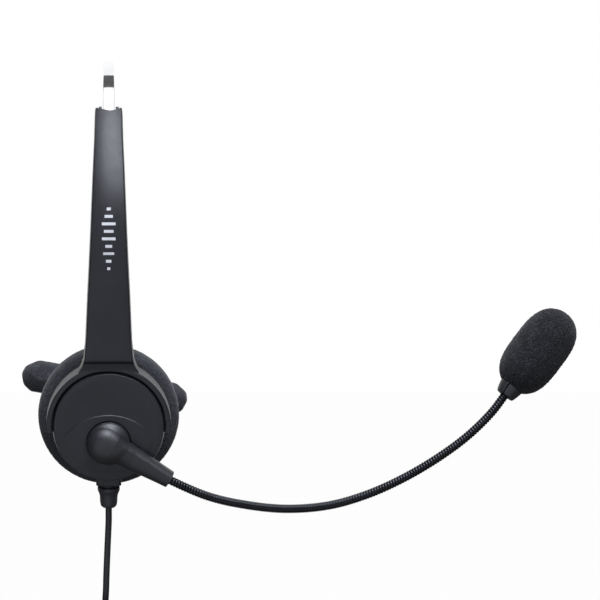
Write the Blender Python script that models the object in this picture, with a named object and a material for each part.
"""Single-ear office headset with a microphone boom.  Metres, +Z up.

Frame: the origin is on the underside of the steel headband at the crown of the head.
+X points forward, to the microphone; the band arches over the head in the plane X = 0;
the ear cup is on the -Y side and the temple bar on the +Y side.
All helper functions take millimetres and write metres.
"""
import bpy
import bmesh
from math import sin, cos, radians, pi, sqrt, atan2, degrees
from mathutils import Matrix, Vector

MM = 0.001

# ------------------------------------------------------------------ driving dimensions (mm, degrees)
BAND_R = 78.0            # underside radius of the sliding part of the band
BAND_W = 5.2             # strip width
BAND_T = 0.8             # strip thickness
BAND_IN = -82.0          # inserted end, angle from the crown
BAND_OUT = 80.0          # where the far leg starts its flatter curve
BAND_R2 = 200.0
BAND_END = 103.0
ARM_TOP = -48.4          # open upper end of the arm
ARM_KNEE = -98.0         # where the arm leaves the band's circle
ARM_R2 = 596.0
TILT = 13.0              # ear cup and temple bar lean
ARM_FRONT = 3.2          # arm mid surface to its outer face
ARM_BACK = 3.0
ARM_WALL = 1.8
POCKET_TOP = 1.3
ARM_LOCAL_Z = 5.2        # arm mid surface in the ear-cup frame
YOKE_RI = 25.3
YOKE_RO = 27.6
YOKE_Z0, YOKE_Z1 = -4.0, 6.3
YOKE_END = 6.0           # degrees that the yoke reaches below its pivots
YOKE_FLARE = 0.8
CUP_Z = -163.9           # height of the ear-cup pivot
CUP_R = 24.85
CAP_Z0, CAP_Z1 = 2.4, 7.3
HUB_V = -6.9             # boom pivot below the cap's centre
HUB_R = 9.5
BOOM_DOWN = 30.4         # boom arm below horizontal at rest
BOOM_LEN = 31.3
GOOSE_R = 2.0
GOOSE_GAP = 0.6
CUSHION_R = 31.4
HOLDER_TURN = 27.0       # the holder's parting line, turned about the microphone's axis
MIC_FOAM_R = 12.0
MIC_FOAM_L = 39.8
CORD_D = 2.95
COIL_R = 17.5            # mean radius of the stored coil
COIL_H = 5.8             # half section of the coil
# arm width against height
ARM_WIDTHS = ((-24.4, 12.4), (-37.6, 13.0), (-51.7, 14.2), (-65.9, 15.3), (-80.0, 16.4), (-94.2, 17.7),
              (-108.3, 19.1), (-122.5, 20.3), (-128.5, 20.9), (-132.5, 22.0), (-136.0, 24.0), (-140.3, 27.4))
# points that the gooseneck passes through, from the boom arm to the microphone
GOOSE_ROUTE = ((43.9, -61.4, -196.0), (59.9, -59.5, -199.8), (78.5, -57.4, -201.8), (97.3, -55.2, -200.5),
               (113.4, -53.4, -196.2), (129.6, -51.5, -189.3), (145.8, -49.7, -180.1), (160.0, -48.1, -169.9),
               (171.0, -46.8, -159.3))
MIC_POS = (177.0, -46.1, -151.5)
MIC_DIR = (0.609, 0.070, 0.793)


# ------------------------------------------------------------------ scene reset
for ob in list(bpy.data.objects):
    bpy.data.objects.remove(ob, do_unlink=True)
COLL = bpy.context.scene.collection

FINISH = {
    "chrome": ((0.80, 0.81, 0.83), 0.08, 1.0),
    "steel": ((0.55, 0.56, 0.58), 0.30, 1.0),
    "black_plastic": ((0.022, 0.023, 0.026), 0.42, 0.0),
    "dark_plastic": ((0.018, 0.019, 0.021), 0.55, 0.0),
    "foam": ((0.012, 0.012, 0.014), 0.95, 0.0),
    "black_metal": ((0.03, 0.03, 0.034), 0.32, 0.8),
    "rubber": ((0.020, 0.020, 0.022), 0.70, 0.0),
    "clear_plastic": ((0.75, 0.77, 0.78), 0.15, 0.0),
    "gold": ((0.83, 0.62, 0.25), 0.20, 1.0),
    "board": ((0.03, 0.16, 0.07), 0.45, 0.0),
    "felt": ((0.30, 0.30, 0.31), 0.95, 0.0),
    "copper": ((0.62, 0.30, 0.16), 0.30, 1.0),
    "film": ((0.55, 0.50, 0.38), 0.35, 0.0),
}


def material(name, finish):
    mat = bpy.data.materials.new(name + "_material")
    mat.use_nodes = True
    shader = mat.node_tree.nodes["Principled BSDF"]
    rgb, rough, metal = FINISH[finish]
    shader.inputs["Base Color"].default_value = (*rgb, 1.0)
    shader.inputs["Roughness"].default_value = rough
    shader.inputs["Metallic"].default_value = metal
    return mat


def empty(name, location=(0, 0, 0), rotation=(0, 0, 0), parent=None):
    ob = bpy.data.objects.new(name, None)
    ob.location = Vector(location) * MM
    ob.rotation_euler = rotation
    ob.parent = parent
    COLL.objects.link(ob)
    return ob


def from_bmesh(name, bm, finish=None, parent=None, cutter=False, angle=35.0):
    bmesh.ops.recalc_face_normals(bm, faces=bm.faces)
    if bm.calc_volume(signed=True) < 0:
        bmesh.ops.reverse_faces(bm, faces=bm.faces)
    me = bpy.data.meshes.new(name)
    bm.to_mesh(me)
    bm.free()
    me.shade_smooth()
    me.set_sharp_from_angle(angle=radians(angle))
    ob = bpy.data.objects.new(name, me)
    ob.parent = parent
    COLL.objects.link(ob)
    if cutter:
        ob.hide_render = True
        ob.display_type = "WIRE"
    else:
        me.materials.append(material(name, finish))
    return ob


def lathe(name, profile, n, finish=None, parent=None, centre=(0, 0, 0), cutter=False, axis=None):
    """Turn a closed profile of (radius, height) about local z, or about `axis` (a rotation matrix)."""
    bm = bmesh.new()
    rings = []
    rot = axis or Matrix.Identity(3)
    c = Vector(centre)
    for r, z in profile:
        if r < 1e-6:
            rings.append([bm.verts.new((c + rot @ Vector((0, 0, z))) * MM)])
        else:
            rings.append([bm.verts.new((c + rot @ Vector((r * cos(2 * pi * k / n), r * sin(2 * pi * k / n), z))) * MM)
                          for k in range(n)])
    m = len(rings)
    for i in range(m):
        a, b = rings[i], rings[(i + 1) % m]
        if len(a) == 1 and len(b) == 1:
            continue
        for k in range(n):
            k2 = (k + 1) % n
            if len(a) == 1:
                bm.faces.new((a[0], b[k], b[k2]))
            elif len(b) == 1:
                bm.faces.new((a[k], b[0], a[k2]))
            else:
                bm.faces.new((a[k], b[k], b[k2], a[k2]))
    return from_bmesh(name, bm, finish, parent, cutter)


def loft(name, rings, finish=None, parent=None, cutter=False, angle=35.0, closed=False):
    """Join rings of points (mm) with quads and cap both ends."""
    bm = bmesh.new()
    vs = [[bm.verts.new(Vector(p) * MM) for p in ring] for ring in rings]
    m = len(vs[0])
    last = len(vs) if closed else len(vs) - 1
    for i in range(last):
        a, b = vs[i], vs[(i + 1) % len(vs)]
        for k in range(m):
            k2 = (k + 1) % m
            bm.faces.new((a[k], a[k2], b[k2], b[k]))
    if not closed:
        bm.faces.new(vs[0])
        bm.faces.new(list(reversed(vs[-1])))
    return from_bmesh(name, bm, finish, parent, cutter, angle)


def prism(name, outline, z0, z1, finish=None, parent=None, cutter=False, inset=0.0):
    """Extrude an outline of (x, y) from z0 to z1."""
    if inset:
        cx = sum(p[0] for p in outline) / len(outline)
        cy = sum(p[1] for p in outline) / len(outline)
        w = max(abs(p[0] - cx) for p in outline)
        h = max(abs(p[1] - cy) for p in outline)
        top = [(cx + (x - cx) * (w - inset) / w, cy + (y - cy) * (h - inset) / h) for x, y in outline]
        return loft(name, [[(x, y, z0) for x, y in outline], [(x, y, z1 - inset) for x, y in outline],
                           [(x, y, z1) for x, y in top]], finish, parent, cutter)
    return loft(name, [[(x, y, z0) for x, y in outline], [(x, y, z1) for x, y in outline]], finish, parent, cutter)


def box(name, lo, hi, finish=None, parent=None, cutter=False):
    return prism(name, [(lo[0], lo[1]), (hi[0], lo[1]), (hi[0], hi[1]), (lo[0], hi[1])], lo[2], hi[2], finish, parent,
                 cutter)


def boolean(target, tool, operation="DIFFERENCE"):
    mod = target.modifiers.new(operation.lower(), "BOOLEAN")
    mod.operation = operation
    mod.object = tool
    mod.solver = "EXACT"


ROT_X = Matrix.Rotation(radians(90), 3, "Y")      # local z of a turned piece -> +x
ROT_NEG_Y = Matrix.Rotation(radians(90), 3, "X")  # local z of a turned piece -> -y


# ------------------------------------------------------------------ the arc that the band and the arm follow
def arc_point(theta, radius):
    t = radians(theta)
    return Vector((0.0, radius * sin(t), -BAND_R + radius * cos(t)))


def band_point(theta, out):
    """Point on the band line at an angle from the crown, `out` mm outside its underside."""
    t = radians(theta)
    n = Vector((0.0, sin(t), cos(t)))
    if theta <= BAND_OUT:
        return arc_point(theta, BAND_R) + n * out
    k = radians(BAND_OUT)
    centre = arc_point(BAND_OUT, BAND_R) - Vector((0.0, sin(k), cos(k))) * BAND_R2
    return centre + n * (BAND_R2 + out)


def arm_point(theta, out):
    """Point on the arm's mid surface, `out` mm towards its outer face."""
    t = radians(theta)
    n = Vector((0.0, sin(t), cos(t)))
    mid = BAND_R + BAND_T / 2
    if theta >= ARM_KNEE:
        return arc_point(theta, mid) + n * out
    k = radians(ARM_KNEE)
    centre = arc_point(ARM_KNEE, mid) - Vector((0.0, sin(k), cos(k))) * ARM_R2
    return centre + n * (ARM_R2 + out)


def arm_width(z):
    rows = ARM_WIDTHS
    if z >= rows[0][0]:
        return rows[0][1]
    for (za, wa), (zb, wb) in zip(rows, rows[1:]):
        if z >= zb:
            return wa + (wb - wa) * (za - z) / (za - zb)
    return rows[-1][1]


N_OUT = Vector((0.0, -cos(radians(TILT)), -sin(radians(TILT))))     # ear cup's outward normal
V_UP = Vector((0.0, -sin(radians(TILT)), cos(radians(TILT))))       # up, in the plane of the cap
ARM_FOOT = arm_point(-90.0 - TILT, 0.0)
V_FOOT = (ARM_FOOT.z - ARM_LOCAL_Z * N_OUT.z - CUP_Z) / V_UP.z
CUP_PIVOT = ARM_FOOT - N_OUT * ARM_LOCAL_Z - V_UP * V_FOOT

# ------------------------------------------------------------------ headband
headband_root = empty("headband_origin")
band_rings = []
steps = [BAND_IN + (BAND_OUT - BAND_IN) * i / 45 for i in range(46)]
steps += [BAND_OUT + (BAND_END - BAND_OUT) * i / 12 for i in range(1, 13)]
for th in steps:
    taper = 0.5 if th == steps[0] else 0.0
    h = BAND_W / 2 - taper
    a, b = band_point(th, 0.0), band_point(th, BAND_T)
    band_rings.append([(-h, a.y, a.z), (h, a.y, a.z), (h, b.y, b.z), (-h, b.y, b.z)])
steel_band = loft("steel_band", band_rings, "chrome", headband_root)


def radial(theta):
    """Rotation that takes local z to the band's outward normal at an angle."""
    t = radians(theta)
    return Matrix.Rotation(-t, 3, "X")


rivet_at = -79.5
hole = lathe("cut_band_rivet", [(0, -2), (1.3, -2), (1.3, 3), (0, 3)], 16, None, headband_root,
             band_point(rivet_at, 0.0), True, radial(rivet_at))
boolean(steel_band, hole)
lathe("band_stop_rivet", [(0, -0.75), (1.7, -0.75), (1.7, -0.3), (1.0, -0.3), (1.0, 1.1), (1.7, 1.1), (1.7, 1.5),
                          (0, 1.5)], 16, "steel", headband_root, band_point(rivet_at, 0.0), False, radial(rivet_at))

# ------------------------------------------------------------------ temple bar
BAND_TIP = band_point(BAND_END, 0.0)
tip_frame = empty("temple_socket_frame", BAND_TIP, (radians(90 - TILT), 0, 0), headband_root)
T_PIVOT_V = -6.3
socket = prism("t_bar_socket", [(-5.5, -9.5), (-4.0, -11), (4.0, -11), (5.5, -9.5), (5.5, 6.5), (4.0, 8), (-4.0, 8),
                                (-5.5, 6.5)], -3.4, 2.6, "black_plastic", tip_frame)
boolean(socket, box("cut_socket_slot", (-2.95, -0.9, -1.35), (2.95, 12, 0.5), None, tip_frame, True))
boolean(socket, lathe("cut_socket_pin", [(0, -9), (2.1, -9), (2.1, 9), (0, 9)], 20, None, tip_frame,
                      (0, T_PIVOT_V, 0), True))
boolean(socket, lathe("cut_socket_screw", [(0, -9), (1.6, -9), (1.6, -1.0), (0, -1.0)], 16, None, tip_frame,
                      (0, 4.0, 0), True))
lathe("t_bar_socket_screw", [(0, -3.3), (1.25, -3.3), (1.25, -1.5), (0, -1.5)], 16, "steel", tip_frame, (0, 4.0, 0))

t_frame = empty("temple_bar_frame", (0, T_PIVOT_V, 0), (0, 0, radians(-8.0)), tip_frame)


def t_outline(inset):
    pts = [(-33.0, 7.4), (-38.2, 3.6), (-39.3, -0.5), (-37.6, -5.0), (-34.0, -7.4), (34.0, -7.4), (37.6, -5.0),
           (39.3, -0.5), (38.2, 3.6), (33.0, 7.4)]
    fx, fy = (39.3 - inset) / 39.3, (7.4 - inset) / 7.4
    return [(-1.6 + x * fx, 0.4 + y * fy) for x, y in pts]


def t_ring(inset, z):
    return [(x, y, z) for x, y in t_outline(inset)]


t_plate = loft("t_bar_back_plate", [t_ring(0.9, 3.0), t_ring(0.0, 3.7), t_ring(0.0, 5.2)], "black_plastic", t_frame)
boolean(t_plate, lathe("cut_plate_pin", [(0, 1), (2.1, 1), (2.1, 9), (0, 9)], 20, None, t_frame, (0, 0, 0), True))
loft("t_bar_foam_pad", [t_ring(0.1, 5.5), t_ring(0.1, 8.6), t_ring(2.4, 12.0), t_ring(3.0, 12.4)], "foam", t_frame)
lathe("t_bar_pivot_pin", [(0, -5.0), (3.2, -5.0), (3.6, -4.4), (3.6, -3.8), (1.8, -3.8), (1.8, 5.1), (0, 5.1)], 20,
      "steel", t_frame)

# ------------------------------------------------------------------ arm: outer shell with its yoke
arm_frame = empty("arm_frame", (0, 0, -BAND_R))
cup_in_arm = empty("yoke_frame", CUP_PIVOT - Vector((0, 0, -BAND_R)), (radians(90 + TILT), 0, 0), arm_frame)


def arm_ring(theta, section):
    """Place (x, out) points of a cross-section on the arm, in the arm frame."""
    down = Vector((0, 0, BAND_R))
    return [tuple(arm_point(theta, o) + down + Vector((x, 0, 0))) for x, o in section]


def arm_section(w, front=ARM_FRONT, back=-ARM_BACK):
    h = w / 2
    return [(-h, back), (-h, front - 1.2), (-h + 1.2, front), (h - 1.2, front), (h, front - 1.2), (h, back)]


thetas = [ARM_TOP + (ARM_KNEE - ARM_TOP) * i / 12 for i in range(13)]
thetas += [ARM_KNEE + (-102.1 - ARM_KNEE) * i / 6 for i in range(1, 7)]
shell_rings = [arm_ring(t, arm_section(arm_width(arm_point(t, 0).z))) for t in thetas]


def cup_to_arm(x, v, z):
    p = CUP_PIVOT + V_UP * v + N_OUT * z + Vector((0, 0, BAND_R))
    return (x, p.y, p.z)


# the shoulder: the arm flares and its face drops in a chamfer to the yoke's front edge
for v, w, zf in ((31.2, 22.3, 8.4), (29.8, 23.2, 8.4), (28.4, 24.2, 8.35), (27.0, 25.7, 7.3), (25.4, 27.6, 6.15),
                 (24.0, 28.2, 6.1), (22.9, 28.0, 6.1)):
    h = w / 2
    shell_rings.append([cup_to_arm(x, v, z) for x, z in ((-h, ARM_LOCAL_Z - ARM_BACK), (-h, zf - 1.0), (-h + 0.8, zf),
                                                         (h - 0.8, zf), (h, zf - 1.0), (h, ARM_LOCAL_Z - ARM_BACK))])
arm_shell = loft("arm_outer_shell", shell_rings, "black_plastic", arm_frame, angle=30)
pocket_rings = []
for t in [ARM_TOP + 2.0] + thetas[:-1] + [-101.6]:
    h = arm_width(arm_point(t, 0).z) / 2 - ARM_WALL
    pocket_rings.append(arm_ring(t, [(-h, -4.5), (-h, POCKET_TOP), (h, POCKET_TOP), (h, -4.5)]))
boolean(arm_shell, loft("cut_arm_pocket", pocket_rings, None, arm_frame, True))
boolean(arm_shell, lathe("cut_yoke_bore", [(0, -9), (YOKE_RI + 0.05, -9), (YOKE_RI + 0.05, 14), (0, 14)], 72, None,
                         cup_in_arm, (0, 0, 0), True))
yoke_rings = []
a0, a1 = -YOKE_END, 180 + YOKE_END
for i in range(33):
    a = radians(a0 + (a1 - a0) * i / 32)
    lift = YOKE_FLARE * max(0.0, sin(a))
    yoke_rings.append([(YOKE_RI * cos(a), YOKE_RI * sin(a), YOKE_Z0),
                       (YOKE_RO * cos(a), YOKE_RO * sin(a) + lift, YOKE_Z0),
                       (YOKE_RO * cos(a), YOKE_RO * sin(a), YOKE_Z1),
                       (YOKE_RI * cos(a), YOKE_RI * sin(a), YOKE_Z1)])
yoke = loft("tool_yoke_ring", yoke_rings, None, cup_in_arm, True)
boolean(arm_shell, yoke, "UNION")
boolean(arm_shell, lathe("cut_yoke_pins", [(0, -40), (1.8, -40), (1.8, 40), (0, 40)], 16, None, cup_in_arm, (0, 0, 0),
                         True, ROT_X))

cover_rings = []
for t in [ARM_TOP - 0.3] + thetas[1:-1] + [-101.3]:
    h = arm_width(arm_point(t, 0).z) / 2 - ARM_WALL - 0.3
    cover_rings.append(arm_ring(t, [(-h, -ARM_BACK), (-h, -1.4), (h, -1.4), (h, -ARM_BACK)]))
arm_cover = loft("arm_inner_cover", cover_rings, "dark_plastic", arm_frame)
for label, th in (("upper", -99.3), ("lower", -100.9)):
    at = arm_point(th, 0) + Vector((0, 0, BAND_R))
    boolean(arm_cover, lathe("cut_screw_" + label, [(0, -6), (1.4, -6), (1.4, 1), (0, 1)], 16, None, arm_frame, at,
                             True, radial(th)))
    lathe("arm_screw_" + label, [(0, -4.2), (1.7, -4.2), (2.1, -3.7), (2.1, -3.3), (1.1, -3.3), (1.1, 0.9), (0, 0.9)],
          16, "steel", arm_frame, at, False, radial(th))
spring_rings = []
for i in range(9):
    t = -52.0 - i
    bow = 0.30 * sin(pi * i / 8)
    spring_rings.append(arm_ring(t, [(-1.9, -1.1 + bow), (1.9, -1.1 + bow), (1.9, -0.85 + bow - 0.1),
                                     (-1.9, -0.85 + bow - 0.1)]))
loft("detent_spring", [[(x, y, z) for x, y, z in r] for r in spring_rings], "steel", arm_frame)
for label, s in (("left", -1), ("right", 1)):
    x0, x1 = 23.6, 27.3
    prof = [(0, x0), (1.5, x0), (1.5, x1), (0, x1)]
    rot = Matrix.Rotation(radians(90 * s), 3, "Y")
    lathe("yoke_pivot_pin_" + label, prof, 16, "steel", cup_in_arm, (0, 0, 0), False, rot)

# ------------------------------------------------------------------ ear cup
cup = empty("ear_cup_frame", (0, 0, 0), (0, 0, 0), cup_in_arm)

cap = lathe("ear_cup_cap", [(CUP_R, CAP_Z0), (CUP_R, 4.2), (24.2, 6.8), (21.8, CAP_Z1), (0, CAP_Z1),
                            (0, 5.7), (20.4, 5.7), (22.4, 4.6), (23.2, CAP_Z0)], 56, "black_plastic", cup)
STEP_R, STEP_V = 24.5, -18.7
crescent = []
lim = 21.3
yi = (lim ** 2 - STEP_R ** 2 + STEP_V ** 2) / (2 * STEP_V)
xi = sqrt(lim ** 2 - yi ** 2)
top0, top1 = atan2(yi - STEP_V, xi), pi - atan2(yi - STEP_V, xi)
for i in range(25):
    a = top0 + (top1 - top0) * i / 24
    crescent.append((STEP_R * cos(a), STEP_V + STEP_R * sin(a)))
b0 = atan2(yi, -xi)
b0 = b0 if b0 > 0 else b0 + 2 * pi
b1 = atan2(yi, xi) + 2 * pi
for i in range(1, 32):
    a = b0 + (b1 - b0) * i / 32
    crescent.append((lim * cos(a), lim * sin(a)))
boolean(cap, prism("tool_cap_step", crescent, 6.4, CAP_Z1 + 0.4, None, cup, True), "UNION")
boolean(cap, lathe("cut_cap_hub", [(0, 3), (HUB_R + 0.3, 3), (HUB_R + 0.3, 12), (0, 12)], 40, None, cup, (0, HUB_V, 0),
                   True))

CORD_Z = -2.5
# its wall keeps inside a sphere about the pivots, so that it can tilt in the yoke
housing = lathe("ear_cup_housing", [(CUP_R, 2.1), (CUP_R, -2.0), (24.2, -6.0), (23.0, -9.6), (28.6, -10.6),
                                    (28.6, -11.8), (20.2, -11.8), (20.2, -10.4), (21.9, -10.4), (21.9, -7.0),
                                    (23.2, -2.0), (23.2, 2.1)], 56, "black_plastic", cup)
spigot = loft("tool_spigot", [[(sx * 5.55, v, CORD_Z + sz * 3.9) for sx, sz in ((-1, -0.7), (-0.8, -1), (0.8, -1),
                                                                               (1, -0.7), (1, 0.7), (0.8, 1),
                                                                               (-0.8, 1), (-1, 0.7))]
                              for v in (-23.9, -28.4)], None, cup, True)
boolean(housing, spigot, "UNION")
boolean(housing, lathe("cut_spigot", [(0, 20), (2.2, 20), (2.2, 32), (0, 32)], 20, None, cup, (0, 0, CORD_Z), True,
                       ROT_NEG_Y))
boolean(housing, lathe("cut_housing_pins", [(0, -40), (1.8, -40), (1.8, 40), (0, 40)], 16, None, cup, (0, 0, 0), True,
                       ROT_X))
lathe("strain_relief", [(0, 28.7), (3.6, 28.7), (3.6, 29.8), (4.95, 29.8), (4.95, 31.1), (3.9, 32.0), (3.85, 37.2),
                        (3.2, 38.5), (2.3, 39.0), (0, 39.0)], 24, "rubber", cup, (0, 0, CORD_Z), False, ROT_NEG_Y)

grille = lathe("speaker_grille", [(0, -10.1), (21.5, -10.1), (21.5, -8.8), (0, -8.8)], 40, "dark_plastic", cup)
gb = bmesh.new()
for k in range(7):
    cx, cy = (0, 0) if k == 6 else (6.5 * cos(k * pi / 3), 6.5 * sin(k * pi / 3))
    lo = [gb.verts.new(Vector((cx + 1.5 * cos(2 * pi * j / 8), cy + 1.5 * sin(2 * pi * j / 8), -12)) * MM) for j in
          range(8)]
    hi = [gb.verts.new(Vector((cx + 1.5 * cos(2 * pi * j / 8), cy + 1.5 * sin(2 * pi * j / 8), -7)) * MM) for j in
          range(8)]
    for j in range(8):
        gb.faces.new((lo[j], lo[(j + 1) % 8], hi[(j + 1) % 8], hi[j]))
    gb.faces.new(lo)
    gb.faces.new(hi)
boolean(grille, from_bmesh("cut_grille_holes", gb, None, cup, True))
lathe("damping_felt", [(0, -11.6), (19.9, -11.6), (19.9, -10.5), (0, -10.5)], 32, "felt", cup)
lathe("speaker_frame", [(15.0, -8.45), (15.0, -7.1), (10.9, -5.0), (10.9, -4.2), (9.8, -4.2), (9.8, -5.4),
                        (13.6, -7.3), (13.6, -8.45)], 32, "steel", cup)
lathe("speaker_diaphragm", [(0, -6.7), (5.0, -7.2), (13.1, -7.8), (13.1, -8.1), (5.0, -7.6), (0, -7.1)], 32, "film",
      cup)
lathe("voice_coil", [(5.0, -6.6), (5.5, -6.6), (5.5, -4.6), (5.0, -4.6)], 24, "copper", cup)
lathe("speaker_magnet_cup", [(9.4, -5.6), (9.4, -2.5), (0, -2.5), (0, -3.3), (8.4, -3.3), (8.4, -5.6)], 28, "steel",
      cup)
lathe("speaker_magnet", [(0, -4.8), (4.3, -4.8), (4.3, -3.6), (0, -3.6)], 24, "steel", cup)
lathe("speaker_pole_plate", [(0, -6.0), (4.5, -6.0), (4.5, -5.1), (0, -5.1)], 24, "steel", cup)
for k, ang in enumerate((90, 210, 330)):
    lathe("housing_screw_%d" % (k + 1), [(0, -8.3), (1.9, -8.3), (1.9, -7.2), (1.0, -7.2), (1.0, 4.2), (0, 4.2)], 12,
          "steel", cup, (19.2 * cos(radians(ang)), 19.2 * sin(radians(ang)), 0))
box("junction_board", (-7.5, 9.5, -1.2), (7.5, 17.0, 0.0), "board", cup)
lathe("cushion_ring", [(21.5, -13.4), (28.7, -13.4), (28.7, -12.1), (21.5, -12.1)], 48, "dark_plastic", cup)
lathe("ear_cushion", [(29.1, -11.4), (30.2, -11.4), (31.1, -12.9), (CUSHION_R, -15.5), (31.2, -20.0), (29.4, -22.8),
                      (26.5, -24.0), (18.0, -24.0), (14.5, -22.8), (13.0, -20.5), (13.0, -13.75), (29.1, -13.75)], 44,
      "foam", cup)

# ------------------------------------------------------------------ boom pivot in the cap
hub = (0, HUB_V, 0)
lathe("boom_bearing", [(5.4, 3.6), (11.5, 3.6), (11.5, 5.35), (5.4, 5.35)], 28, "dark_plastic", cup, hub)
lathe("boom_wave_washer", [(5.5, 2.7), (8.4, 2.7), (8.4, 3.2), (5.5, 3.2)], 24, "steel", cup, hub)
boom = empty("boom_frame", hub, (0, 0, radians(-BOOM_DOWN)), cup)


def boom_ring(a, half, z0, z1, crown, side=0.0):
    """Section of the boom arm: flat back at z0, rounded front at z1, its middle moved to `side`."""
    pts = [(-half, z0), (-half, z0 + (z1 - z0) * 0.45), (-half * 0.72, z1 - crown), (-half * 0.30, z1),
           (half * 0.30, z1), (half * 0.72, z1 - crown), (half, z0 + (z1 - z0) * 0.45), (half, z0)]
    return [(a, side + y, z) for y, z in pts]


dome = lathe("boom_outer_shell", [(0, 9.3), (8.9, 9.3), (8.9, 10.4), (8.5, 12.2), (7.3, 14.2), (5.2, 15.6),
                                  (2.6, 16.3), (0, 16.5)], 32, "black_plastic", boom, (-0.4, 0, 0))
arm_tool = loft("tool_boom_arm", [boom_ring(1.0, 5.8, 9.3, 15.6, 1.0, -0.2), boom_ring(9.0, 5.7, 9.3, 15.5, 1.2, -0.3),
                                  boom_ring(15.0, 5.3, 9.3, 15.2, 1.3, -0.3), boom_ring(23.0, 4.5, 9.3, 14.9, 1.2, -0.4),
                                  boom_ring(BOOM_LEN, 3.8, 9.3, 14.7, 1.1, -0.4)], None, boom, True)
boolean(dome, arm_tool, "UNION")
boolean(dome, loft("cut_boom_wires", [[(a, y, z) for y, z in ((-h, 8.5), (-h, 13.2), (h, 13.2), (h, 8.5))]
                                      for a, h in ((-4.5, 3.6), (3.0, 3.6), (20.0, 2.6))], None, boom, True))
GOOSE_Z = 11.6
boolean(dome, lathe("cut_boom_goose", [(0, 17), (2.3, 17), (2.3, 40), (0, 40)], 16, None, boom, (0, 0, GOOSE_Z), True,
                    ROT_X))
inner = lathe("boom_inner_shell", [(2.6, 1.0), (5.1, 1.0), (5.1, 5.75), (HUB_R, 5.75), (HUB_R, 8.6), (8.8, 9.0),
                                   (2.6, 9.0)], 32, "black_plastic", boom)
boolean(inner, loft("tool_boom_back", [[(a, y, z) for y, z in ((-h, 8.15), (-h, 8.95), (h, 8.95), (h, 8.15))]
                                       for a, h in ((3.4, 5.0), (9.0, 5.2), (15.0, 4.8), (23.0, 4.0),
                                                    (BOOM_LEN, 3.35))], None, boom, True), "UNION")
lathe("boom_retainer", [(1.5, -0.3), (7.4, -0.3), (7.4, 0.6), (1.5, 0.6)], 24, "steel", boom)
lathe("boom_screw", [(0, -1.9), (2.5, -1.9), (2.5, -0.7), (1.15, -0.7), (1.15, 5.0), (0, 5.0)], 16, "steel", boom)

# ------------------------------------------------------------------ gooseneck
bpy.context.view_layer.update()
boom_world = boom.matrix_world.copy()
boom_dir = (boom_world.to_3x3() @ Vector((1, 0, 0))).normalized()
goose_start = boom_world @ (Vector((BOOM_LEN, 0, GOOSE_Z)) * MM) / MM
mic_dir = Vector(MIC_DIR).normalized()
route = [goose_start - boom_dir * 12.0, goose_start - boom_dir * 5.5, goose_start]
route += [Vector(p) for p in GOOSE_ROUTE]
route += [Vector(MIC_POS), Vector(MIC_POS) + mic_dir * 5.5, Vector(MIC_POS) + mic_dir * 11.0]


def catmull(points, per):
    """Smooth curve through points, centripetal Catmull-Rom."""
    out = []
    for i in range(1, len(points) - 2):
        p0, p1, p2, p3 = points[i - 1:i + 3]
        t1 = (p1 - p0).length ** 0.5
        t2 = t1 + (p2 - p1).length ** 0.5
        t3 = t2 + (p3 - p2).length ** 0.5
        for j in range(per):
            t = t1 + (t2 - t1) * j / per
            a1 = p0 * ((t1 - t) / t1) + p1 * (t / t1)
            a2 = p1 * ((t2 - t) / (t2 - t1)) + p2 * ((t - t1) / (t2 - t1))
            a3 = p2 * ((t3 - t) / (t3 - t2)) + p3 * ((t - t2) / (t3 - t2))
            b1 = a1 * ((t2 - t) / t2) + a2 * (t / t2)
            b2 = a2 * ((t3 - t) / (t3 - t1)) + a3 * ((t - t1) / (t3 - t1))
            out.append(b1 * ((t2 - t) / (t2 - t1)) + b2 * ((t - t1) / (t2 - t1)))
    out.append(points[-2])
    return out


goose_line = catmull(route, 24)
goose_len = [0.0]
for p, q in zip(goose_line, goose_line[1:]):
    goose_len.append(goose_len[-1] + (q - p).length)


def goose_at(s):
    for i in range(len(goose_line) - 1):
        if goose_len[i + 1] >= s:
            t = (s - goose_len[i]) / (goose_len[i + 1] - goose_len[i])
            return goose_line[i].lerp(goose_line[i + 1], t), (goose_line[i + 1] - goose_line[i]).normalized()
    return goose_line[-1], (goose_line[-1] - goose_line[-2]).normalized()


PLANE_N = Vector((-0.114, 0.9935, 0.0)).normalized()
TOTAL = goose_len[-1]
FIRST = 5.5 + 12.0
GOOSE_JOINTS = [FIRST + (TOTAL - FIRST - 5.5 - 11.0) * i / 6 for i in range(7)]
cuts = [0.0] + GOOSE_JOINTS + [TOTAL]
for k in range(8):
    s0 = cuts[k] + (0 if k == 0 else GOOSE_GAP / 2)
    s1 = cuts[k + 1] - (0 if k == 7 else GOOSE_GAP / 2)
    rings = []
    for j in range(6):
        p, t = goose_at(s0 + (s1 - s0) * j / 5)
        side = PLANE_N.cross(t).normalized()
        other = t.cross(side).normalized()
        rings.append([tuple(p + side * (GOOSE_R * cos(2 * pi * m / 10)) + other * (GOOSE_R * sin(2 * pi * m / 10)))
                      for m in range(10)])
    seg = loft("gooseneck_%d" % (k + 1), rings, "black_metal", None)
    # each segment turns at the joint before it
    if k:
        p, t = goose_at(cuts[k])
        origin = p * MM
        seg.data.transform(Matrix.Translation(-origin))
        seg.location = origin

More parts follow.
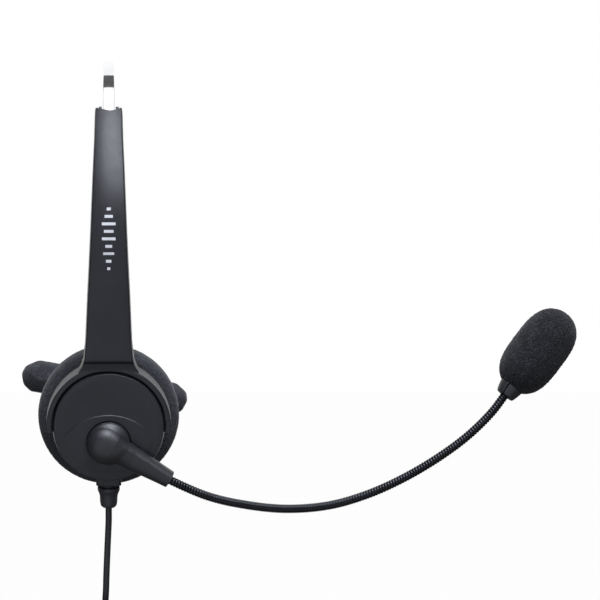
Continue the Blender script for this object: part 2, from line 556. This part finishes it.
# ------------------------------------------------------------------ microphone
up = PLANE_N.cross(mic_dir).normalized()
mic_rot = Matrix((up, mic_dir.cross(up), mic_dir)).transposed()
mic = empty("mic_frame", MIC_POS, mic_rot.to_euler())
foam_mid = 25.0
foam_lo, foam_hi = foam_mid - MIC_FOAM_L / 2, foam_mid + MIC_FOAM_L / 2
foam_prof = []
for i in range(13):
    a = radians(-78 + 168 * i / 12)
    r = MIC_FOAM_R * max(0.0, cos(a)) ** 0.62
    z = foam_mid + (MIC_FOAM_L / 2) * (sin(a) if abs(sin(a)) < 1 else 1.0)
    foam_prof.append((r if i < 12 else 0.0, z))
lathe("mic_windscreen", [(5.6, foam_prof[0][1])] + foam_prof + [(0, 20.6), (5.6, 20.6)], 28, "foam", mic)
holder = empty("mic_holder_frame", (0, 0, 0), (0, 0, radians(-HOLDER_TURN)), mic)
for label, s in (("front", 1), ("rear", -1)):
    rings = []
    for z, r in ((-2.0, 3.5), (-1.2, 4.3), (4.6, 5.7), (5.0, 5.2), (12.0, 5.2)):
        pts = []
        for j in range(9):
            a = pi * j / 8
            pts.append((s * (0.2 + (r - 0.2) * sin(a)), r * cos(a), z))
        # channel that grips the gooseneck
        for j in range(5):
            a = pi * j / 4
            pts.append((s * (0.2 + 2.15 * sin(a)), -2.35 * cos(a), z))
        rings.append(pts)
    loft("mic_holder_" + label, rings, "black_plastic", holder)
lathe("mic_seat", [(2.6, 12.3), (5.2, 12.3), (5.2, 13.0), (2.6, 13.0)], 20, "rubber", mic)
lathe("mic_capsule", [(0, 13.3), (4.7, 13.3), (4.7, 20.0), (0, 20.0)], 20, "steel", mic)

# ------------------------------------------------------------------ cord, stored coil and plug
relief_tip = CUP_PIVOT + V_UP * -39.0 + N_OUT * CORD_Z
CORD_ROUTE = [relief_tip + V_UP * 4.0, relief_tip - V_UP * 0.35, relief_tip - V_UP * 5.0,
              Vector((-0.2, relief_tip.y + 2.3, relief_tip.z - 11.0)),
              Vector((-0.6, relief_tip.y + 2.9, relief_tip.z - 19.0)),
              Vector((-1.0, relief_tip.y + 3.0, relief_tip.z - 30.0)),
              Vector((-1.2, relief_tip.y + 3.0, relief_tip.z - 40.0)),
              Vector((-1.2, relief_tip.y + 3.0, relief_tip.z - 48.2)),
              Vector((-1.2, relief_tip.y + 3.0, relief_tip.z - 54.0))]


def tube(name, points, diameter, finish):
    cu = bpy.data.curves.new(name, "CURVE")
    cu.dimensions = "3D"
    cu.resolution_u = 1
    cu.render_resolution_u = 0
    cu.bevel_depth = diameter / 2 * MM
    cu.bevel_resolution = 2
    cu.use_fill_caps = True
    sp = cu.splines.new("POLY")
    sp.points.add(len(points) - 1)
    for i, p in enumerate(points):
        sp.points[i].co = (*(Vector(p) * MM), 1.0)
    ob = bpy.data.objects.new(name, cu)
    COLL.objects.link(ob)
    cu.materials.append(material(name, finish))
    return ob


tube("cord_lead", catmull(CORD_ROUTE, 3), CORD_D, "rubber")
COIL_C = Vector((-1.2, relief_tip.y + 3.0, relief_tip.z - 48.2 - 0.4 - COIL_R - COIL_H))
coil = empty("coil_frame", COIL_C, (radians(90), 0, 0))
k = COIL_H * 0.45
lathe("cord_coil", [(COIL_R + COIL_H, -k), (COIL_R + COIL_H, k), (COIL_R + k, COIL_H), (COIL_R - k, COIL_H),
                    (COIL_R - COIL_H, k), (COIL_R - COIL_H, -k), (COIL_R - k, -COIL_H), (COIL_R + k, -COIL_H)], 36,
      "rubber", coil)
tie_angle = radians(50)
tie_c = Vector((COIL_R * cos(tie_angle), COIL_R * sin(tie_angle), 0))
rad, tan_ = Vector((cos(tie_angle), sin(tie_angle), 0)), Vector((-sin(tie_angle), cos(tie_angle), 0))
tie_rings = []
for j in range(16):
    a = 2 * pi * j / 16
    d = rad * cos(a) + Vector((0, 0, 1)) * sin(a)
    ri, ro = 6.75, 7.5
    tie_rings.append([tuple(tie_c + d * r + tan_ * w) for r, w in ((ri, -2.5), (ro, -2.5), (ro, 2.5), (ri, 2.5))])
loft("cord_tie", tie_rings, "rubber", coil, closed=True)

TAIL_X = COIL_C.x - 21.8
tail = [Vector((TAIL_X, COIL_C.y, COIL_C.z - 12.6)), Vector((TAIL_X, COIL_C.y, COIL_C.z - 18.0)),
        Vector((TAIL_X + 0.1, COIL_C.y, COIL_C.z - 24.0)), Vector((TAIL_X + 0.3, COIL_C.y, COIL_C.z - 30.0))]
tube("cord_tail", tail, CORD_D, "rubber")
plug = empty("plug_frame", tail[-1] - Vector((0, 0, 0.35)), (0, 0, 0))
# modular four-way plug, hanging with its cord end up
pb = box("plug_body", (-3.8, -3.3, -15.2), (3.8, 3.3, 0.0), "clear_plastic", plug)
for i in range(4):
    x = -1.9 + 1.27 * i
    boolean(pb, box("cut_contact_%d" % (i + 1), (x - 0.45, 1.2, -16), (x + 0.45, 4, -11.0), None, plug, True))
    box("plug_contact_%d" % (i + 1), (x - 0.14, 1.55, -14.6), (x + 0.14, 3.1, -11.4), "gold", plug)
loft("plug_latch", [[(x, y, z) for x, y in ((-1.6, y0), (1.6, y0), (1.6, y0 + 0.7), (-1.6, y0 + 0.7))]
                    for z, y0 in ((-14.6, -4.4), (-9.0, -5.0), (-3.0, -6.2), (-1.4, -6.4))], "clear_plastic", plug)
